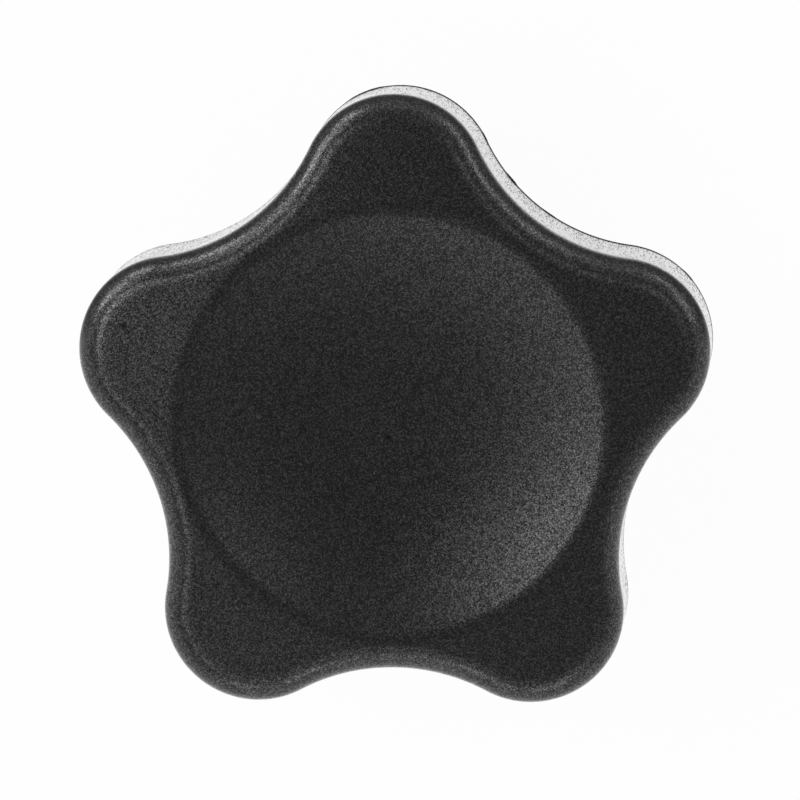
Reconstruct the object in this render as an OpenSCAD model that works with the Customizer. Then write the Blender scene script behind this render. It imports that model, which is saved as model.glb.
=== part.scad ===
// Star knob: a moulded head with rounded lobes and a dished face, on a hub that
// holds a blind threaded insert. The frame's origin is the centre of the hub's
// lower end, +Z points up through the face, and one lobe points along +Y.

/* [Head] */
// Diameter across the lobe tips, at the lower edge
head_d = 50; // [47:1:56]
// Number of lobes
lobes = 5; // [4:1:7]
// Diameter across the hollows between the lobes, at the lower edge
waist_d = 38; // [36:0.2:40]
// Radius of a lobe seen from above
lobe_r = 7; // [6.5:0.1:7.5]
// Height of the head, from its lower edge to the ridge of the face
head_h = 12.5; // [11:0.5:16]
// Draft angle of the side wall
draft = 1.5; // [0.5:0.25:3]
// Rounding between the face and the side wall
edge_r = 2; // [1:0.1:2.5]
// Width of the parting lip round the lower edge
lip_w = 0.12; // [0.05:0.01:0.3]
// Height of the parting lip
lip_h = 0.25; // [0.15:0.05:0.6]

/* [Face] */
// Width of the face outside its ridge, where the head is narrowest
ridge_land = 0.2; // [0.2:0.05:3]
// Depth of the dish below the ridge
dish_depth = 2.2; // [1:0.1:2.6]
// Rounding over the ridge
ridge_r = 3.5; // [3:0.5:12]
// Slope of the face outside the ridge
face_slope = 5.5; // [2:0.5:12]

/* [Underside] */
// Thickness of the side wall at its lower edge
wall = 2.8; // [2:0.1:3.5]
// Thickness of the top under the face
top_t = 3; // [2.5:0.1:4]
// Rounding where the hollow's wall meets its ceiling
core_r = 1; // [0.5:0.1:1.5]
// Thickness of a rib
rib_t = 2; // [1.2:0.1:3]
// Distance that the ribs stop short of the head's lower edge
rib_gap = 1.2; // [0.5:0.1:3]

/* [Hub] */
// Diameter of the hub at its lower end
hub_d = 20; // [17:0.5:22]
// Length of the hub below the head's lower edge
hub_h = 11.5; // [9:0.5:16]
// Chamfer round the hub's lower end
hub_chamfer = 0.5; // [0.3:0.1:1]

/* [Insert] */
// Diameter over the insert's knurl
insert_d = 12; // [11:0.25:13]
// Length of the insert
insert_l = 15; // [14:0.5:16]
// Depth of a knurl tooth
knurl_depth = 0.35; // [0.2:0.05:0.5]
// Number of knurl teeth
knurl_teeth = 36; // [24:1:48]
// Width of the retaining groove between the knurled bands
groove_w = 3; // [2:0.5:4]
// Depth of the retaining groove below the knurl's roots
groove_depth = 0.5; // [0.3:0.1:0.8]
// Diameter of the drilled thread hole
bore_d = 6.8; // [6:0.1:7.5]
// Depth of the thread hole, without its drill point
bore_l = 11.5; // [9:0.5:11.5]
// Diameter of the countersink at the mouth of the hole
mouth_d = 8.4; // [8:0.1:9]

/* [Hidden] */
$fn = 64;

// Steps that set how finely the moulded skin follows its curves
lobe_steps = 14;
hollow_steps = 8;
dish_steps = 6;
ridge_steps = 3; // on each side of the crest
slope_steps = 2;
edge_steps = 6;
core_steps = 3;
ceiling_steps = 3;
overlap = 0.5; // how far the hub and ribs run into the skin
eps = 0.01;

// Levels, measured up from the hub's lower end
lower_z = hub_h;
ridge_z = lower_z + head_h;

// The outline of the head at the top of its side wall: arcs round the lobe
// centres and round the hollow centres, tangent where they meet
flare = (head_h - edge_r) * tan(draft);
tip_r = head_d / 2 - lip_w - flare;
waist_r = waist_d / 2 - lip_w - flare;
half_pitch = 180 / lobes;
lobe_c = tip_r - lobe_r;
hollow_c = (lobe_c^2 - (lobe_r - waist_r)^2) / (2 * (lobe_c * cos(half_pitch) + lobe_r - waist_r));
hollow_r = hollow_c - waist_r;
lobe_sweep = atan2(hollow_c * sin(half_pitch), hollow_c * cos(half_pitch) - lobe_c);
hollow_sweep = lobe_sweep - half_pitch;
first_lobe = 90;
pitch_steps = lobe_steps + hollow_steps;
ring_steps = lobes * pitch_steps;

// The face's profile: a spherical dish, an arc over the ridge and a slope
ridge_c = waist_r - edge_r - ridge_land;
dish_tilt = 2 * atan(dish_depth / ridge_c);
dish_r = ridge_c / sin(dish_tilt) - ridge_r;
dish_edge = dish_r * sin(dish_tilt);
slope_start = ridge_c + ridge_r * sin(face_slope);
slope_drop = ridge_r * (1 - cos(face_slope));

// How far the hollow's wall lies outside the outline, at its foot and at its top
core_foot = flare - wall;
core_top = core_foot - (head_h - top_t - core_r) * tan(draft);

function polar(r, a) = [r * cos(a), r * sin(a)];

// Point i of the head's outline, moved outward by grow
function outline_point(i, grow) =
    let (j = i % pitch_steps, turn = first_lobe + floor(i / pitch_steps) * 2 * half_pitch)
    j < lobe_steps
        ? polar(lobe_c, turn) + polar(lobe_r + grow, turn + lobe_sweep * (2 * j / lobe_steps - 1))
        : polar(hollow_c, turn + half_pitch) - polar(
            hollow_r - grow,
            turn + half_pitch + hollow_sweep * (1 - 2 * (j - lobe_steps) / hollow_steps)
        );

function outline(grow) = [for (i = [0 : ring_steps - 1]) outline_point(i, grow)];
function level_ring(grow, z) = [for (p = outline(grow)) [p.x, p.y, z]];

// Height of the face over the ridge's level, at a radius from the axis
function face_height(r) =
    r < dish_edge ? dish_r - dish_depth - sqrt(dish_r^2 - r^2)
    : r < slope_start ? sqrt(ridge_r^2 - (r - ridge_c)^2) - ridge_r
    : -slope_drop - (r - slope_start) * tan(face_slope);

// A ring at a depth under the face, part of the way from the circle of radius r
// (share 0) to the outline moved outward by grow (share 1)
function face_ring(r, share, grow, depth) =
    [for (p = outline(grow))
        let (q = p * (share + (1 - share) * r / norm(p)))
        [q.x, q.y, ridge_z - depth + face_height(norm(q))]];

// A ring on the rounding of radius r inside the outline moved outward by grow,
// at an angle a from 0 at the face, or a depth under it, to 90 at the wall
function round_ring(a, r, grow, depth) =
    [for (p = outline(grow + r * (sin(a) - 1)))
        [p.x, p.y, ridge_z - depth - r * (1 - cos(a)) + face_height(norm(p))]];

crest_share = (slope_start - ridge_c) / (tip_r - edge_r - ridge_c);
outer_rings = concat(
    [for (k = [1 : dish_steps]) face_ring(dish_edge * k / dish_steps, 0, -edge_r, 0)],
    [for (k = [1 : ridge_steps])
        face_ring(ridge_c - ridge_r * sin(dish_tilt * (1 - k / ridge_steps)), 0, -edge_r, 0)],
    [for (k = [1 : ridge_steps]) face_ring(ridge_c, crest_share * k / ridge_steps, -edge_r, 0)],
    [for (k = [1 : slope_steps])
        face_ring(ridge_c, crest_share + (1 - crest_share) * k / slope_steps, -edge_r, 0)],
    [for (k = [1 : edge_steps]) round_ring((90 - draft) * k / edge_steps, edge_r, 0, 0)]
);
lip_rings = [
    level_ring(flare - lip_h * tan(draft), lower_z + lip_h),
    level_ring(flare + lip_w, lower_z + lip_h),
    level_ring(flare + lip_w, lower_z),
    level_ring(core_foot, lower_z)
];
inner_rings = concat(
    [for (k = [0 : core_steps]) round_ring(90 * (1 - k / core_steps), core_r, core_top, top_t)],
    [for (k = [1 : ceiling_steps])
        face_ring(hub_d / 2 - overlap, 1 - k / ceiling_steps, core_top - core_r, top_t)]
);

// A closed solid through a list of rings, with a point at each end
module ringed_solid(rings, first_point, last_point) {
    n = len(rings[0]);
    m = len(rings);
    sides = [for (k = [0 : m - 2]) for (i = [0 : n - 1])
        let (a = k * n + i, b = k * n + (i + 1) % n)
        for (f = [[a, b, a + n], [b, b + n, a + n]]) f];
    first_cap = [for (i = [0 : n - 1]) [n * m, (i + 1) % n, i]];
    last_cap = [for (i = [0 : n - 1]) [n * m + 1, (m - 1) * n + i, (m - 1) * n + (i + 1) % n]];
    polyhedron(
        points = concat([for (ring = rings) for (p = ring) p], [first_point, last_point]),
        faces = concat(sides, first_cap, last_cap)
    );
}

// The moulded skin: the face, the side wall and the hollow under them
module skin() {
    dish_z = ridge_z - dish_depth;
    ringed_solid(concat(outer_rings, lip_rings, inner_rings), [0, 0, dish_z], [0, 0, dish_z - top_t]);
}

module hub() {
    top_z = ridge_z - top_t + face_height(hub_d / 2 + overlap) + overlap;
    cylinder(d1 = hub_d - 2 * hub_chamfer, d2 = hub_d, h = hub_chamfer);
    translate([0, 0, hub_chamfer])
        cylinder(r1 = hub_d / 2, r2 = hub_d / 2 + (top_z - hub_chamfer) * tan(draft), h = top_z - hub_chamfer);
}

// One rib from the hub to the wall of each hollow between two lobes
module ribs() {
    bottom = lower_z + rib_gap;
    top = ridge_z - top_t + overlap;
    inner = hub_d / 2 - overlap;
    outer = waist_r + core_foot + overlap;
    for (k = [0 : lobes - 1])
        rotate(first_lobe + half_pitch * (2 * k + 1))
            translate([inner, -rib_t / 2, bottom])
                cube([outer - inner, rib_t, top - bottom]);
}

// The outside of the insert: two knurled bands with a groove between them
module insert_blank() {
    band = (insert_l - groove_w) / 2;
    root_r = insert_d / 2 - knurl_depth;
    teeth = [for (i = [0 : 2 * knurl_teeth - 1])
        polar(i % 2 == 0 ? insert_d / 2 : root_r, i * 180 / knurl_teeth)];
    for (z = [0, insert_l - band])
        translate([0, 0, z])
            linear_extrude(height = band)
                polygon(teeth);
    translate([0, 0, band - eps])
        cylinder(r = root_r - groove_depth, h = groove_w + 2 * eps);
}

module knob_body() {
    color([0.13, 0.13, 0.135])
        difference() {
            union() {
                skin();
                hub();
                ribs();
            }
            insert_blank();
        }
}

module threaded_insert() {
    mouth_h = (mouth_d - bore_d) / 2 / tan(60);
    point_h = bore_d / 2 / tan(59);
    color([0.80, 0.62, 0.30])
        difference() {
            insert_blank();
            translate([0, 0, -eps])
                cylinder(d = bore_d, h = bore_l + eps);
            translate([0, 0, bore_l])
                cylinder(d1 = bore_d, d2 = 0, h = point_h);
            translate([0, 0, -eps])
                cylinder(d1 = mouth_d + 2 * eps * tan(60), d2 = bore_d, h = mouth_h + eps);
        }
}

knob_body();
threaded_insert();
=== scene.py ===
import math

import bpy
import numpy as np
from mathutils import Matrix, Vector


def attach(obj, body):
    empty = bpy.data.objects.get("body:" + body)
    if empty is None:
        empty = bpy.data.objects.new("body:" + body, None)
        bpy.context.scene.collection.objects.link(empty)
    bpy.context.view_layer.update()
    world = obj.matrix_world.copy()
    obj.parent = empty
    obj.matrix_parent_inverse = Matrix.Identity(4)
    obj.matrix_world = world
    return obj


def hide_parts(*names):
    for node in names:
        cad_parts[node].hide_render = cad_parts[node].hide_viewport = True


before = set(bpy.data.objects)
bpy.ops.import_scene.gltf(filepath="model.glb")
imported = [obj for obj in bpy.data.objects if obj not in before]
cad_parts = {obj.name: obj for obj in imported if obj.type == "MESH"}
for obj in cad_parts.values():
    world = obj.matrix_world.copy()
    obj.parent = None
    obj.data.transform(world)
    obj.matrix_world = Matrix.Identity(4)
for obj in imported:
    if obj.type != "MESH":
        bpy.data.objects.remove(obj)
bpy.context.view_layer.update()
mm = 0.001


def polar(radius, angle):
    return np.array([radius * math.cos(angle), radius * math.sin(angle)])


def shares(count, start=1):
    # even steps up to 1
    return [k / count for k in range(start, count + 1)]


def ringRoundAxis(radius, height, steps):
    # the radius is a number, or a function of the angle
    ring = []
    for angle in [2 * math.pi * i / steps for i in range(steps)]:
        r = radius(angle) if callable(radius) else radius
        ring.append((r * math.cos(angle), r * math.sin(angle), height))
    return ring


def addMesh(name, verts, faces):
    mesh = bpy.data.meshes.new(name)
    mesh.from_pydata(verts, [], faces)
    obj = bpy.data.objects.new(name, mesh)
    bpy.context.scene.collection.objects.link(obj)
    return obj


def meshFromRings(name, rings, firstPoint, lastPoint):
    # a closed skin through rings of equal length, from its upper middle outward, down and back in
    count, points = len(rings), len(rings[0])
    verts = np.concatenate([np.asarray(rings).reshape(-1, 3), [firstPoint, lastPoint]]) * mm
    faces = []
    for k in range(count - 1):
        for i in range(points):
            a, b = k * points + i, k * points + (i + 1) % points
            faces.append((a, a + points, b + points, b))
    first, last, top = count * points, count * points + 1, (count - 1) * points
    faces += [(first, i, (i + 1) % points) for i in range(points)]
    faces += [(last, top + (i + 1) % points, top + i) for i in range(points)]
    return addMesh(name, verts.tolist(), faces)


def combine(obj, other, operation):
    # the joined or cut form becomes the object's own mesh
    cut = obj.modifiers.new(operation.lower(), "BOOLEAN")
    cut.object, cut.operation, cut.solver = other, operation, "EXACT"
    graph = bpy.context.evaluated_depsgraph_get()
    result = bpy.data.meshes.new_from_object(obj.evaluated_get(graph))
    obj.modifiers.clear()
    obj.data = result
    bpy.data.objects.remove(other)


def shadeByAngle(obj, degrees):
    obj.data.shade_smooth()
    obj.data.set_sharp_from_angle(angle=math.radians(degrees))


body = {  # millimetres and degrees, as in the solid
    "headDiameter": 50, "lobes": 5, "waistDiameter": 38, "lobeRadius": 7, "headHeight": 12.5,
    "draft": 1.5, "edgeRound": 2, "lipWidth": 0.12, "lipHeight": 0.25, "ridgeLand": 0.2,
    "dishDepth": 2.2, "ridgeRound": 3.5, "faceSlope": 5.5, "wall": 2.8, "top": 3, "coreRound": 1,
    "ribThickness": 2, "ribGap": 1.2, "hubDiameter": 20, "hubLength": 11.5, "hubChamfer": 0.5,
    "footRound": 0.3,  # small rounding inside the foot of the wall
    "ribRound": 0.35,  # along the ribs' lower edges
    "overlap": 0.5,  # how far the hub and the ribs run into their neighbours before they are joined
    "lipSection": ((0.03, 0.24), (0, 0.19), (0, 0.05), (0.04, 0)),  # in from its edge, up from the foot
    "lipShare": 0.1,  # how far the lip stands out between the flashes
    "flash": [(60, 65, 0.55), (96, 6, 0.75), (73.5, 1.6, 0.75), (64.5, 2.6, 1.0), (53, 4, 0.7),
              (25, 2.2, 0.65), (214, 4, 0.8)],  # azimuth and half width in degrees, strength
    "flashSteepness": 1.6,  # how fast a flash rises from its ends
    "lobeSteps": 60, "hollowSteps": 40, "hubSteps": 128, "ribRoundSteps": 5,
    # how many rings follow each stretch of the section
    "rings": {"dish": 14, "ridge": 8, "crest": 5, "slope": 8, "edge": 14, "wall": 6, "foot": 4,
              "core": 6, "ceiling": 6},
    "sharpAngle": 32,
}
insert = {  # millimetres
    "diameter": 12, "length": 15, "knurlDepth": 0.35, "knurlTeeth": 36, "grooveWidth": 3,
    "grooveDepth": 0.5, "boreDiameter": 6.8, "boreDepth": 11.5, "mouthDiameter": 8.4,
    "threadDiameter": 8, "pitch": 1.25, "stepsPerPitch": 16,
    "crestFlat": 1 / 16,  # half the flat at the thread's outer diameter, as a share of the pitch
    "runOut": 2,  # turns over which the thread fades before the drill point
    "threadStart": 0.05, "mouthEdge": (0.03, 0.01),  # width and height of the mouth's soft edge
    "mouthAngle": 60, "drillAngle": 59,  # half angles in degrees
    "drillSteps": 5,
    "pocketPast": 1,  # how far the cutter for the pocket runs out of the hub
    "sharpAngle": 30,
}

lowerZ = body["hubLength"]
ridgeZ = lowerZ + body["headHeight"]
draftSlope = math.tan(math.radians(body["draft"]))
flare = (body["headHeight"] - body["edgeRound"]) * draftSlope
tipRadius = body["headDiameter"] / 2 - body["lipWidth"] - flare
waistRadius = body["waistDiameter"] / 2 - body["lipWidth"] - flare
halfPitch = math.pi / body["lobes"]
lobeCentre = tipRadius - body["lobeRadius"]
reach = body["lobeRadius"] - waistRadius
hollowCentre = (lobeCentre ** 2 - reach ** 2) / (2 * (lobeCentre * math.cos(halfPitch) + reach))
hollowRadius = hollowCentre - waistRadius
lobeSweep = math.atan2(hollowCentre * math.sin(halfPitch), hollowCentre * math.cos(halfPitch) - lobeCentre)
hollowSweep = lobeSweep - halfPitch

ridgeRadius = waistRadius - body["edgeRound"] - body["ridgeLand"]
dishTilt = 2 * math.atan(body["dishDepth"] / ridgeRadius)
dishRadius = ridgeRadius / math.sin(dishTilt) - body["ridgeRound"]
dishEdge = dishRadius * math.sin(dishTilt)
faceSlope = math.radians(body["faceSlope"])
slopeStart = ridgeRadius + body["ridgeRound"] * math.sin(faceSlope)
slopeDrop = body["ridgeRound"] * (1 - math.cos(faceSlope))


def outline(grow):
    # arcs round the lobes and the hollows between them, tangent where they meet
    points = []
    for k in range(body["lobes"]):
        turn = math.pi / 2 + 2 * k * halfPitch
        for j in range(body["lobeSteps"]):
            angle = turn + lobeSweep * (2 * j / body["lobeSteps"] - 1)
            points.append(polar(lobeCentre, turn) + polar(body["lobeRadius"] + grow, angle))
        for j in range(body["hollowSteps"]):
            angle = turn + halfPitch + hollowSweep * (1 - 2 * j / body["hollowSteps"])
            points.append(polar(hollowCentre, turn + halfPitch) - polar(hollowRadius - grow, angle))
    return np.array(points)


def faceHeight(radius):
    # a dish, an arc over the ridge, then the slope down to the lobe tips
    dish = dishRadius - body["dishDepth"] - np.sqrt(np.maximum(dishRadius ** 2 - radius ** 2, 0))
    ridge = np.sqrt(np.maximum(body["ridgeRound"] ** 2 - (radius - ridgeRadius) ** 2, 0)) - body["ridgeRound"]
    slope = -slopeDrop - (radius - slopeStart) * math.tan(faceSlope)
    return np.where(radius < dishEdge, dish, np.where(radius < slopeStart, ridge, slope))


def withHeight(points, height):
    # the height is one number, or one for each point
    return np.column_stack([points, np.broadcast_to(height, len(points))])


def faceRing(radius, share, grow, depth):
    # between a circle, share 0, and the outline, share 1, at a depth under the face
    edge = outline(grow)
    length = np.linalg.norm(edge, axis=1, keepdims=True)
    points = edge * (share + (1 - share) * radius / length)
    return withHeight(points, ridgeZ - depth + faceHeight(np.linalg.norm(points, axis=1)))


def roundRing(angle, radius, grow, depth):
    # part of a rounded edge, by the angle from its upper side
    points = outline(grow + radius * (math.sin(angle) - 1))
    drop = radius * (1 - math.cos(angle))
    return withHeight(points, ridgeZ - depth - drop + faceHeight(np.linalg.norm(points, axis=1)))


def levelRing(grow, height):
    return withHeight(outline(grow), height)


def lipRing(grow, width, height):
    # the lip stands out in full only where the mould has flashed
    edge = outline(0)
    angles = np.degrees(np.arctan2(edge[:, 1], edge[:, 0]))
    share = np.full(len(edge), body["lipShare"])
    for middle, half, strength in body["flash"]:
        away = np.abs((angles - middle + 180) % 360 - 180) / half
        share = np.maximum(share, strength * np.clip(body["flashSteepness"] * (1 - away), 0, 1))
    share = share[:, np.newaxis]
    return withHeight(outline(grow) * (1 - share) + outline(grow + width) * share, height)


def buildSkin():
    edge, foot, count = body["edgeRound"], body["footRound"], body["rings"]
    crest = (slopeStart - ridgeRadius) / (tipRadius - edge - ridgeRadius)
    # out over the dish, the ridge and the lobes' slope, then round the upper edge
    rings = [faceRing(dishEdge * share, 0, -edge, 0) for share in shares(count["dish"])]
    rings += [faceRing(ridgeRadius - body["ridgeRound"] * math.sin(dishTilt * (1 - share)), 0, -edge, 0)
              for share in shares(count["ridge"])]
    rings += [faceRing(ridgeRadius, crest * share, -edge, 0) for share in shares(count["crest"])]
    rings += [faceRing(ridgeRadius, crest + (1 - crest) * share, -edge, 0)
              for share in shares(count["slope"])]
    rings += [roundRing(math.radians(90 - body["draft"]) * share, edge, 0, 0)
              for share in shares(count["edge"])]
    # down the wall, from under the rounding as it lies at the lobe tips, and round the lip
    wallTop, lipTop = ridgeZ - edge, lowerZ + body["lipHeight"]
    wallFoot = flare - body["lipHeight"] * draftSlope
    for share in shares(count["wall"]):
        height = wallTop + (lipTop - wallTop) * share + (1 - share) * float(faceHeight(tipRadius))
        rings.append(levelRing(wallFoot * share, height))
    rings += [lipRing(wallFoot, body["lipWidth"] - inset, lowerZ + height)
              for inset, height in body["lipSection"]]
    # up the inside to the hollow's ceiling
    inner = flare - body["wall"]
    coreTop = inner - (body["headHeight"] - body["top"] - body["coreRound"]) * draftSlope
    for angle in [math.pi / 2 * share for share in shares(count["foot"], 0)]:
        rings.append(levelRing(inner + foot * (1 - math.sin(angle)), lowerZ + foot * (1 - math.cos(angle))))
    rings += [roundRing(math.pi / 2 * (1 - share), body["coreRound"], coreTop, body["top"])
              for share in shares(count["core"], 0)]
    hubInside = body["hubDiameter"] / 2 - body["overlap"]
    rings += [faceRing(hubInside, 1 - share, coreTop - body["coreRound"], body["top"])
              for share in shares(count["ceiling"])]
    dishZ = ridgeZ - body["dishDepth"]
    return meshFromRings("knobShell", rings, (0, 0, dishZ), (0, 0, dishZ - body["top"]))


def buildHub():
    radius, chamfer, overlap = body["hubDiameter"] / 2, body["hubChamfer"], body["overlap"]
    topZ = ridgeZ - body["top"] + float(faceHeight(radius + overlap)) + overlap
    # from the middle of the foot, round a softened chamfer and up into the head
    profile = [(radius / 2, 0), (radius - chamfer, 0), (radius - chamfer * 0.35, chamfer * 0.25),
               (radius, chamfer), (radius + (topZ - chamfer) * draftSlope, topZ)]
    rings = [ringRoundAxis(r, z, body["hubSteps"]) for r, z in profile[::-1]]
    return meshFromRings("hub", rings, (0, 0, topZ), (0, 0, 0))


def buildRibs():
    half, soft, overlap = body["ribThickness"] / 2, body["ribRound"], body["overlap"]
    bottom, top = lowerZ + body["ribGap"], ridgeZ - body["top"] + overlap
    inner, outer = body["hubDiameter"] / 2 - overlap, waistRadius + flare - body["wall"] + overlap
    corner = np.linspace(0, math.pi / 2, body["ribRoundSteps"])
    section = [(-half, top)]
    section += [(-half + soft * (1 - math.cos(a)), bottom + soft * (1 - math.sin(a))) for a in corner]
    section += [(half - soft * (1 - math.sin(a)), bottom + soft * (1 - math.cos(a))) for a in corner]
    section.append((half, top))
    verts, faces, count = [], [], len(section)
    for k in range(body["lobes"]):
        turn = math.pi / 2 + halfPitch * (2 * k + 1)
        out, side, base = polar(1, turn), polar(1, turn + math.pi / 2), len(verts)
        for radius in (inner, outer):
            for across, z in section:
                x, y = (out * radius + side * across) * mm
                verts.append((x, y, z * mm))
        faces += [(base + i, base + (i + 1) % count, base + count + (i + 1) % count, base + count + i)
                  for i in range(count)]
        faces.append(tuple(base + i for i in range(count))[::-1])
        faces.append(tuple(base + count + i for i in range(count)))
    return addMesh("ribs", verts, faces)


def knurlRadius(angle):
    # straight-sided teeth between the outer and the root diameter
    tooth = math.pi / insert["knurlTeeth"]
    outer = insert["diameter"] / 2
    root = outer - insert["knurlDepth"]
    k = math.floor(angle / tooth)
    a, b = (outer, root) if k % 2 == 0 else (root, outer)
    p, q = polar(a, k * tooth), polar(b, (k + 1) * tooth)
    ray, side = polar(1, angle), q - p
    return (p[0] * side[1] - p[1] * side[0]) / (ray[0] * side[1] - ray[1] * side[0])


def insertOutside(steps, bottom):
    # rings over the knurled bands and the groove, from the upper end down
    top = insert["length"]
    band = (top - insert["grooveWidth"]) / 2
    groove = insert["diameter"] / 2 - insert["knurlDepth"] - insert["grooveDepth"]
    levels = [(knurlRadius, top), (knurlRadius, top - band), (groove, top - band),
              (groove, band), (knurlRadius, band), (knurlRadius, bottom)]
    return [ringRoundAxis(radius, z, steps) for radius, z in levels]


def buildBody():
    shell = buildSkin()
    combine(shell, buildHub(), "UNION")
    combine(shell, buildRibs(), "UNION")
    rings = insertOutside(insert["knurlTeeth"] * 2, -insert["pocketPast"])
    pocket = meshFromRings("pocket", rings, (0, 0, insert["length"]), (0, 0, -insert["pocketPast"]))
    combine(shell, pocket, "DIFFERENCE")
    shadeByAngle(shell, body["sharpAngle"])
    return shell


def buildInsert():
    steps = insert["knurlTeeth"] * 4
    bore, deep, pitch = insert["boreDiameter"] / 2, insert["boreDepth"], insert["pitch"]
    thread, mouth = insert["threadDiameter"] / 2, insert["mouthDiameter"] / 2
    mouthSlope = math.tan(math.radians(insert["mouthAngle"]))

    def threadRing(z):
        # a 60 degree thread, cut in full up to its run-out
        full = min(1, max(0, (deep - z) / (insert["runOut"] * pitch)))

        def radius(angle):
            away = abs((z / pitch - angle / (2 * math.pi)) % 1 - 0.5) * pitch
            cut = thread - max(0, away - insert["crestFlat"] * pitch) * math.sqrt(3)
            return max(bore, bore + (cut - bore) * full, mouth - z * mouthSlope)

        return ringRoundAxis(radius, z, steps)

    edgeWidth, edgeHeight = insert["mouthEdge"]
    rings = insertOutside(steps, 0)
    rings += [ringRoundAxis(mouth + edgeWidth, 0, steps), ringRoundAxis(mouth, edgeHeight, steps)]
    start = insert["threadStart"]
    rings += [threadRing(start + (deep - start) * share)
              for share in shares(int(deep / pitch * insert["stepsPerPitch"]), 0)]
    tip = bore / math.tan(math.radians(insert["drillAngle"]))
    rings += [ringRoundAxis(bore * (1 - share), deep + tip * share, steps)
              for share in shares(insert["drillSteps"])[:-1]]
    obj = meshFromRings("threadedInsertPiece", rings, (0, 0, insert["length"]), (0, 0, deep + tip))
    shadeByAngle(obj, insert["sharpAngle"])
    return obj


print("stage: body")
knobBody = buildBody()
knobBody.name = knobBody.data.name = "knobBodyPiece"
print("body faces", len(knobBody.data.polygons))
print("stage: insert")
threadedInsert = buildInsert()
print("insert faces", len(threadedInsert.data.polygons))

for piece, node, slot in ((knobBody, "knob_body", "knob_plastic"),
                          (threadedInsert, "threaded_insert", "insert_brass")):
    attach(piece, "root")
    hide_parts(node)


def newMaterial(name):
    material = bpy.data.materials.new(name)
    material.use_nodes = True
    return material, material.node_tree.nodes, material.node_tree.links


def newGroup(name, inputs, outputs):
    group = bpy.data.node_groups.new(name, "ShaderNodeTree")
    for label, kind, value in inputs:
        socket = group.interface.new_socket(label, in_out="INPUT", socket_type=kind)
        if value is not None:
            socket.default_value = value
    for label, kind in outputs:
        group.interface.new_socket(label, in_out="OUTPUT", socket_type=kind)
    return group, group.nodes.new("NodeGroupInput"), group.nodes.new("NodeGroupOutput")


def feed(links, socket, value):
    # a number, a tuple or another node's output
    if isinstance(value, (int, float, tuple)):
        socket.default_value = value
    elif value is not None:
        links.new(value, socket)


def mathNode(nodes, links, operation, a, b=None):
    node = nodes.new("ShaderNodeMath")
    node.operation = operation
    feed(links, node.inputs[0], a)
    feed(links, node.inputs[1], b)
    return node.outputs[0]


def vectorNode(nodes, links, operation, a, b=None):
    node = nodes.new("ShaderNodeVectorMath")
    node.operation = operation
    feed(links, node.inputs[0], a)
    feed(links, node.inputs[1], b)
    return node.outputs["Value" if operation in ("LENGTH", "DISTANCE", "DOT_PRODUCT") else "Vector"]


def mixNode(nodes, links, kind, factor, a, b):
    node = nodes.new("ShaderNodeMix")
    node.data_type = kind
    # the node has sockets of its own for each kind
    first, second, result = {"FLOAT": (2, 3, 0), "RGBA": (6, 7, 2)}[kind]
    feed(links, node.inputs[0], factor)
    feed(links, node.inputs[first], a)
    feed(links, node.inputs[second], b)
    return node.outputs[result]


def mixValue(nodes, links, factor, a, b):
    return mixNode(nodes, links, "FLOAT", factor, a, b)


def mixColor(nodes, links, factor, a, b):
    a, b = [(*color, 1) if isinstance(color, tuple) else color for color in (a, b)]
    return mixNode(nodes, links, "RGBA", factor, a, b)


def mapRange(nodes, links, value, low, high, toLow, toHigh):
    node = nodes.new("ShaderNodeMapRange")
    links.new(value, node.inputs["Value"])
    for label, number in (("From Min", low), ("From Max", high), ("To Min", toLow), ("To Max", toHigh)):
        node.inputs[label].default_value = number
    return node.outputs[0]


def axes(nodes, links, vector):
    node = nodes.new("ShaderNodeSeparateXYZ")
    links.new(vector, node.inputs[0])
    return node.outputs


def noise(nodes, links, vector, scale, detail):
    node = nodes.new("ShaderNodeTexNoise")
    node.inputs["Scale"].default_value = scale
    node.inputs["Detail"].default_value = detail
    links.new(vector, node.inputs["Vector"])
    return node.outputs["Fac"]


def addGroup(nodes, group, **values):
    node = nodes.new("ShaderNodeGroup")
    node.node_tree = group
    for label, value in values.items():
        node.inputs[label].default_value = value
    return node


grainFold = (7.0, 11.0, 13.0)  # weights that mix the cell's random numbers into its shade
handling = {"scale": 90.0, "detail": 3.0}  # slow patches, about a centimetre across


def makeGrainGroup():
    # moulded grain: small facets, each with a shade of its own and a lean of its own
    group, start, end = newGroup(
        "surfaceGrain",
        [("Position", "NodeSocketVector", None), ("Size", "NodeSocketFloat", 0.14),
         ("Lean", "NodeSocketFloat", 0.1)],
        [("Shade", "NodeSocketFloat"), ("Normal", "NodeSocketVector")])
    nodes, links = group.nodes, group.links
    cells = nodes.new("ShaderNodeTexVoronoi")
    links.new(start.outputs["Position"], cells.inputs["Vector"])
    links.new(mathNode(nodes, links, "DIVIDE", 1 / mm, start.outputs["Size"]), cells.inputs["Scale"])
    # folded, so that the shade does not follow the lean
    total = vectorNode(nodes, links, "DOT_PRODUCT", cells.outputs["Color"], grainFold)
    links.new(mathNode(nodes, links, "FRACT", total), end.inputs["Shade"])
    lean = vectorNode(nodes, links, "SUBTRACT", cells.outputs["Color"], (0.5, 0.5, 0.5))
    lean = vectorNode(nodes, links, "MULTIPLY", lean, start.outputs["Lean"])
    normal = vectorNode(nodes, links, "ADD", nodes.new("ShaderNodeNewGeometry").outputs["Normal"], lean)
    links.new(vectorNode(nodes, links, "NORMALIZE", normal), end.inputs["Normal"])
    return group


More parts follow.
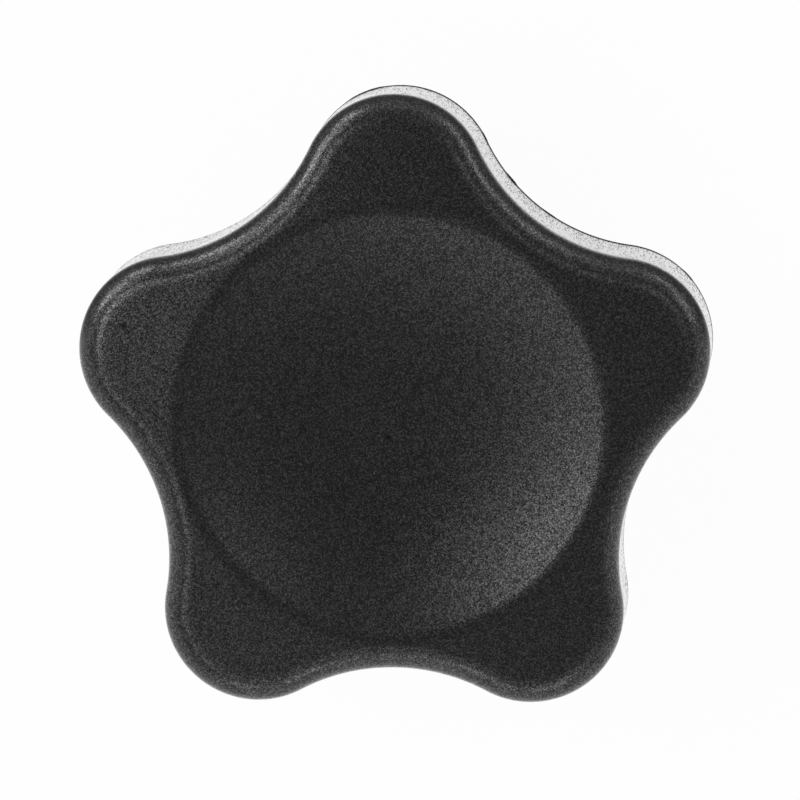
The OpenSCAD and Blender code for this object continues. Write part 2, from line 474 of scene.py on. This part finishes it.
def makeDustGroup():
    # sparse fine specks and a slow unevenness from handling
    group, start, end = newGroup(
        "dustAndHandling",
        [("Position", "NodeSocketVector", None), ("Spacing", "NodeSocketFloat", 2.0),
         ("Speck", "NodeSocketFloat", 0.03)],
        [("Specks", "NodeSocketFloat"), ("Handling", "NodeSocketFloat")])
    nodes, links = group.nodes, group.links
    cells = nodes.new("ShaderNodeTexVoronoi")
    links.new(start.outputs["Position"], cells.inputs["Vector"])
    links.new(mathNode(nodes, links, "DIVIDE", 1 / mm, start.outputs["Spacing"]), cells.inputs["Scale"])
    specks = mathNode(nodes, links, "LESS_THAN", cells.outputs["Distance"], start.outputs["Speck"])
    links.new(specks, end.inputs["Specks"])
    slow = noise(nodes, links, start.outputs["Position"], handling["scale"], handling["detail"])
    links.new(slow, end.inputs["Handling"])
    return group


grainGroup = makeGrainGroup()
dustGroup = makeDustGroup()


plastic = {
    "low": (0.0098, 0.0096, 0.0099), "high": (0.023, 0.0224, 0.0234),
    "grainSize": 0.085,  # millimetres
    "shadePower": 2.6,  # how few of the grains are pale
    "faceLean": 0.17, "wallLean": 0.02,  # how far the facets lean, on the face and below it
    "speck": (0.07, 0.069, 0.068), "speckSpacing": 3.5, "speckSize": 0.02,
    # the side wall seen edge on: facing range, pit width in millimetres, its share of the height, the finish
    "edgeOn": (0.83, 0.9), "pitWidth": 0.07, "pitStretch": 0.08, "pitDepth": (0.0, 0.5),
    "pitRoughness": 0.5,
    "pitRise": 0.2,  # how much smoother the wall is at its top than at its foot
    "handled": (0.3, 0.7), "faceRoughness": (0.14, 0.19), "wallRoughness": 0.06,
    "wallTop": 21.6, "faceFoot": 22.6,  # heights in millimetres between which the finish changes
    "specular": 0.2, "coatIor": 1.85, "coatRoughness": 0.27,
    # marks on the face: X, Y and radius in millimetres, colour
    "marks": [(-20.1, 7.3, 0.3, (0.003, 0.003, 0.003)), (-19.85, 6.85, 0.2, (0.003, 0.003, 0.003)),
              (-0.35, -1.15, 0.2, (0.003, 0.003, 0.003)), (-10.1, 0.4, 0.2, (0.05, 0.049, 0.048))],
    "markCore": 0.5,  # the share of a mark's radius that is full strength
}


def makePlastic():
    material, nodes, links = newMaterial("knobPlastic")
    shader = nodes["Principled BSDF"]
    place = nodes.new("ShaderNodeTexCoord").outputs["Object"]
    height = axes(nodes, links, place)["Z"]
    wallTop, faceFoot = plastic["wallTop"] * mm, plastic["faceFoot"] * mm
    face = mapRange(nodes, links, height, wallTop, faceFoot, 0, 1)
    grain = addGroup(nodes, grainGroup, Size=plastic["grainSize"])
    pits = addGroup(nodes, grainGroup, Size=plastic["pitWidth"])
    dust = addGroup(nodes, dustGroup, Spacing=plastic["speckSpacing"], Speck=plastic["speckSize"])
    stretched = vectorNode(nodes, links, "MULTIPLY", place, (1.0, 1.0, plastic["pitStretch"]))
    links.new(place, grain.inputs["Position"])
    links.new(stretched, pits.inputs["Position"])
    links.new(place, dust.inputs["Position"])
    lean = mapRange(nodes, links, face, 0, 1, plastic["wallLean"], plastic["faceLean"])
    links.new(lean, grain.inputs["Lean"])
    shade = mathNode(nodes, links, "POWER", grain.outputs["Shade"], plastic["shadePower"])
    tone = mixColor(nodes, links, shade, plastic["low"], plastic["high"])
    tone = mixColor(nodes, links, dust.outputs["Specks"], tone, plastic["speck"])
    flat = vectorNode(nodes, links, "MULTIPLY", place, (1.0, 1.0, 0.0))
    shine = shade
    for x, y, radius, color in plastic["marks"]:
        away = vectorNode(nodes, links, "DISTANCE", flat, (x * mm, y * mm, 0.0))
        mark = mapRange(nodes, links, away, radius * plastic["markCore"] * mm, radius * mm, 1, 0)
        tone = mixColor(nodes, links, mark, tone, color)
        shine = mixValue(nodes, links, mark, shine, 0.0)
    links.new(tone, shader.inputs["Base Color"])
    gloss = mapRange(nodes, links, dust.outputs["Handling"], *plastic["handled"], *plastic["faceRoughness"])
    gloss = mixValue(nodes, links, face, plastic["wallRoughness"], gloss)
    # edge on, the side wall shines all but its pits
    facing = nodes.new("ShaderNodeLayerWeight").outputs["Facing"]
    wall = mapRange(nodes, links, face, 0, 1, 1, 0)
    edgeOn = mapRange(nodes, links, facing, *plastic["edgeOn"], 0, 1)
    edgeOn = mathNode(nodes, links, "MULTIPLY", edgeOn, wall)
    rise = mapRange(nodes, links, height, lowerZ * mm, wallTop, 0, plastic["pitRise"])
    smooth = mathNode(nodes, links, "ADD", pits.outputs["Shade"], rise)
    smooth = mapRange(nodes, links, smooth, *plastic["pitDepth"], 0, 1)
    links.new(mathNode(nodes, links, "MULTIPLY", edgeOn, smooth), shader.inputs["Metallic"])
    pitted = mapRange(nodes, links, smooth, 0, 1, plastic["pitRoughness"], plastic["wallRoughness"])
    links.new(mixValue(nodes, links, edgeOn, gloss, pitted), shader.inputs["Roughness"])
    links.new(grain.outputs["Normal"], shader.inputs["Normal"])
    shader.inputs["Specular IOR Level"].default_value = plastic["specular"]
    # on the face the paler grains are the shinier ones
    links.new(mixValue(nodes, links, edgeOn, shine, smooth), shader.inputs["Coat Weight"])
    shader.inputs["Coat IOR"].default_value = plastic["coatIor"]
    shader.inputs["Coat Roughness"].default_value = plastic["coatRoughness"]
    return material


brass = {
    "bright": (0.78, 0.58, 0.27), "dull": (0.52, 0.36, 0.15), "roughness": (0.24, 0.42),
    "grainSize": 0.35, "handled": (0.35, 0.7), "tarnish": 0.7,
    # turning marks: how close they lie, their detail, depth in millimetres and strength
    "turnScale": 9000.0, "turnDetail": 2.0, "turnDepth": 0.02, "turnStrength": 0.6,
}


def makeBrass():
    material, nodes, links = newMaterial("insertBrass")
    shader = nodes["Principled BSDF"]
    place = nodes.new("ShaderNodeTexCoord").outputs["Object"]
    # turning marks run round the axis: they change with radius and height alone
    flat = vectorNode(nodes, links, "MULTIPLY", place, (1.0, 1.0, 0.0))
    lines = nodes.new("ShaderNodeCombineXYZ")
    links.new(vectorNode(nodes, links, "LENGTH", flat), lines.inputs["X"])
    links.new(axes(nodes, links, place)["Z"], lines.inputs["Y"])
    turned = noise(nodes, links, lines.outputs[0], brass["turnScale"], brass["turnDetail"])
    grain = addGroup(nodes, grainGroup, Size=brass["grainSize"])
    dust = addGroup(nodes, dustGroup)
    links.new(place, grain.inputs["Position"])
    links.new(place, dust.inputs["Position"])
    tarnish = mapRange(nodes, links, dust.outputs["Handling"], *brass["handled"], 0, brass["tarnish"])
    links.new(mixColor(nodes, links, tarnish, brass["bright"], brass["dull"]), shader.inputs["Base Color"])
    gloss = mapRange(nodes, links, grain.outputs["Shade"], 0, 1, *brass["roughness"])
    links.new(gloss, shader.inputs["Roughness"])
    shader.inputs["Metallic"].default_value = 1.0
    bump = nodes.new("ShaderNodeBump")
    bump.inputs["Strength"].default_value = brass["turnStrength"]
    bump.inputs["Distance"].default_value = brass["turnDepth"] * mm
    links.new(turned, bump.inputs["Height"])
    links.new(bump.outputs["Normal"], shader.inputs["Normal"])
    return material


print("stage: finishes")
plasticMaterial = makePlastic()
brassMaterial = makeBrass()
for piece, material in ((knobBody, plasticMaterial), (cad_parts["knob_body"], plasticMaterial),
                        (threadedInsert, brassMaterial), (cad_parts["threaded_insert"], brassMaterial)):
    piece.data.materials.clear()
    piece.data.materials.append(material)


studio = {
    "floorSize": 4.0, "floorColor": (0.95, 0.95, 0.95), "floorRoughness": 0.9, "floorGlow": 0.96,
    "floorDrop": 0.02,  # millimetres under the hub's foot
    # painted reflection: as a gloss sees it the floor glows white in front of the part and round its foot,
    # and behind the part its glow is painted darker, a painted shade: millimetres from the axis, millimetres
    # along Y, and levels
    "paintedReflectionPool": {"foot": (30, 44), "far": (44, 120), "behind": (0, 15), "dim": 0.15, "farDim": 0.5},
    # brightness of the room by the sine of the height over the horizon
    "sky": ((0.0, 1.0), (0.2, 1.0), (0.7, 0.26), (0.88, 0.38), (1.0, 0.03)),
}
lamps = {  # azimuth from +X and elevation over the floor in degrees, power in watts
    "top": (0, 82, 0.009), "topFront": (240, 82, 0.013), "topLeft": (164, 72, 0.006),
    "highLeft": (180, 62, 0.055), "key": (144, 62, 0.21), "right": (36, 62, 0.1),
    "keyLeft": (165, 52, 0.45), "left": (195, 52, 0.14), "frontLeft": (225, 52, 0.11),
    "front": (255, 52, 0.08), "frontRight": (285, 52, 0.03), "midFrontRight": (305, 41, 0.1),
    "upperLeft": (135, 29, 0.27), "lowFront": (255, 29, 0.2), "lowFrontRight": (285, 29, 0.25),
    "lowLeft": (150, 16, 0.6), "lowRight": (30, 16, 0.29), "rimLeft": (123, 7, 0.5),
    "rimRight": (51, 7, 0.17), "rimFront": (267, 7, 0.045),
}
lampSpread = {"distance": 0.6, "size": 0.22, "aimHeight": 0.02}  # metres; every lamp is a round softbox
view = {  # the camera's lean from straight above, in degrees, then millimetres
    "leanX": 3.0, "leanY": 5.8, "distance": 350, "aim": (0.6, 1.89, 24.0), "frameWidth": 59.66,
    "sensorWidth": 36, "clip": (10, 20000),
}


def makeFloor():
    half, paintedReflectionPool = studio["floorSize"] / 2, studio["paintedReflectionPool"]
    corners = [(-half, -half, 0), (half, -half, 0), (half, half, 0), (-half, half, 0)]
    obj = addMesh("floor", corners, [(0, 1, 2, 3)])
    obj.location.z = -studio["floorDrop"] * mm
    material, nodes, links = newMaterial("paleFloor")
    shader = nodes["Principled BSDF"]
    shader.inputs["Base Color"].default_value = (*studio["floorColor"], 1)
    shader.inputs["Roughness"].default_value = studio["floorRoughness"]
    shader.inputs["Specular IOR Level"].default_value = 0.0
    # the floor glows for the camera, a gloss and a clear material
    path = nodes.new("ShaderNodeLightPath").outputs
    seen = mathNode(nodes, links, "MAXIMUM", path["Is Camera Ray"], path["Is Glossy Ray"])
    seen = mathNode(nodes, links, "MAXIMUM", seen, path["Is Transmission Ray"])
    place = nodes.new("ShaderNodeTexCoord").outputs["Object"]
    # what a gloss sees of the floor is painted: a painted pool of light round the foot and in front of the
    # part, and a painted shade behind it
    away = vectorNode(nodes, links, "LENGTH", place)
    beyond = mapRange(nodes, links, away, *[edge * mm for edge in paintedReflectionPool["foot"]], 0, 1)
    behind = mapRange(nodes, links, axes(nodes, links, place)["Y"],
                      *[edge * mm for edge in paintedReflectionPool["behind"]], 0, 1)
    dim = mapRange(nodes, links, away, *[edge * mm for edge in paintedReflectionPool["far"]], paintedReflectionPool["dim"], paintedReflectionPool["farDim"])
    level = mixValue(nodes, links, mathNode(nodes, links, "MULTIPLY", beyond, behind), 1.0, dim)
    glow = nodes.new("ShaderNodeEmission")
    links.new(mathNode(nodes, links, "MAXIMUM", path["Is Camera Ray"], level), glow.inputs["Strength"])
    mix = nodes.new("ShaderNodeMixShader")
    links.new(mathNode(nodes, links, "MULTIPLY", seen, studio["floorGlow"]), mix.inputs[0])
    links.new(shader.outputs[0], mix.inputs[1])
    links.new(glow.outputs[0], mix.inputs[2])
    # a camera under the floor looks through it, so that the underside can be seen
    below = nodes.new("ShaderNodeMixShader")
    back = nodes.new("ShaderNodeNewGeometry").outputs["Backfacing"]
    links.new(mathNode(nodes, links, "MULTIPLY", back, path["Is Camera Ray"]), below.inputs[0])
    links.new(mix.outputs[0], below.inputs[1])
    links.new(nodes.new("ShaderNodeBsdfTransparent").outputs[0], below.inputs[2])
    links.new(below.outputs[0], nodes["Material Output"].inputs["Surface"])
    obj.data.materials.append(material)
    return obj


def makeWorld():
    world = bpy.data.worlds.new("studioWorld")
    bpy.context.scene.world = world
    world.use_nodes = True
    nodes, links = world.node_tree.nodes, world.node_tree.links
    background = nodes["Background"]
    background.inputs["Color"].default_value = (1, 1, 1, 1)
    height = axes(nodes, links, nodes.new("ShaderNodeTexCoord").outputs["Generated"])["Z"]
    sky = nodes.new("ShaderNodeValToRGB")
    stops = sky.color_ramp.elements
    while len(stops) < len(studio["sky"]):
        stops.new(0.5)
    for stop, (sine, level) in zip(stops, studio["sky"]):
        stop.position, stop.color = sine, (level, level, level, 1)
    links.new(height, sky.inputs[0])
    # the camera sees plain white; everything else sees a pale room with a dim ceiling
    toCamera = nodes.new("ShaderNodeLightPath").outputs["Is Camera Ray"]
    level = mathNode(nodes, links, "MAXIMUM", sky.outputs["Color"], toCamera)
    links.new(level, background.inputs["Strength"])


def facingFrame(direction):
    # the turn of a lamp or camera that looks down against the direction, with its top towards +Y
    right = Vector((0, 1, 0)).cross(direction).normalized()
    return Matrix((right, direction.cross(right), direction)).transposed().to_4x4()


def makeLamp(name, azimuth, elevation, power):
    light = bpy.data.lights.new(name, "AREA")
    light.shape = "DISK"
    light.size = lampSpread["size"]
    light.energy = power
    obj = bpy.data.objects.new(name, light)
    bpy.context.scene.collection.objects.link(obj)
    x, y = polar(math.cos(math.radians(elevation)), math.radians(azimuth))
    direction = Vector((x, y, math.sin(math.radians(elevation))))
    place = direction * lampSpread["distance"] + Vector((0, 0, lampSpread["aimHeight"]))
    obj.matrix_world = Matrix.Translation(place) @ facingFrame(direction)
    obj.visible_camera = False


def makeCamera():
    camera = bpy.data.cameras.new("camera")
    obj = bpy.data.objects.new("camera", camera)
    bpy.context.scene.collection.objects.link(obj)
    leanX, leanY = math.radians(view["leanX"]), math.radians(view["leanY"])
    direction = Vector((math.tan(leanX), math.tan(leanY), 1)).normalized()
    place = (Vector(view["aim"]) + direction * view["distance"]) * mm
    obj.matrix_world = Matrix.Translation(place) @ facingFrame(direction)
    camera.sensor_width = view["sensorWidth"]
    camera.lens = view["sensorWidth"] * view["distance"] / view["frameWidth"]
    camera.clip_start, camera.clip_end = [away * mm for away in view["clip"]]
    bpy.context.scene.camera = obj


print("stage: studio")
makeFloor()
makeWorld()
for name, lamp in lamps.items():
    makeLamp(name, *lamp)
makeCamera()
bpy.context.scene.view_settings.view_transform = "Standard"
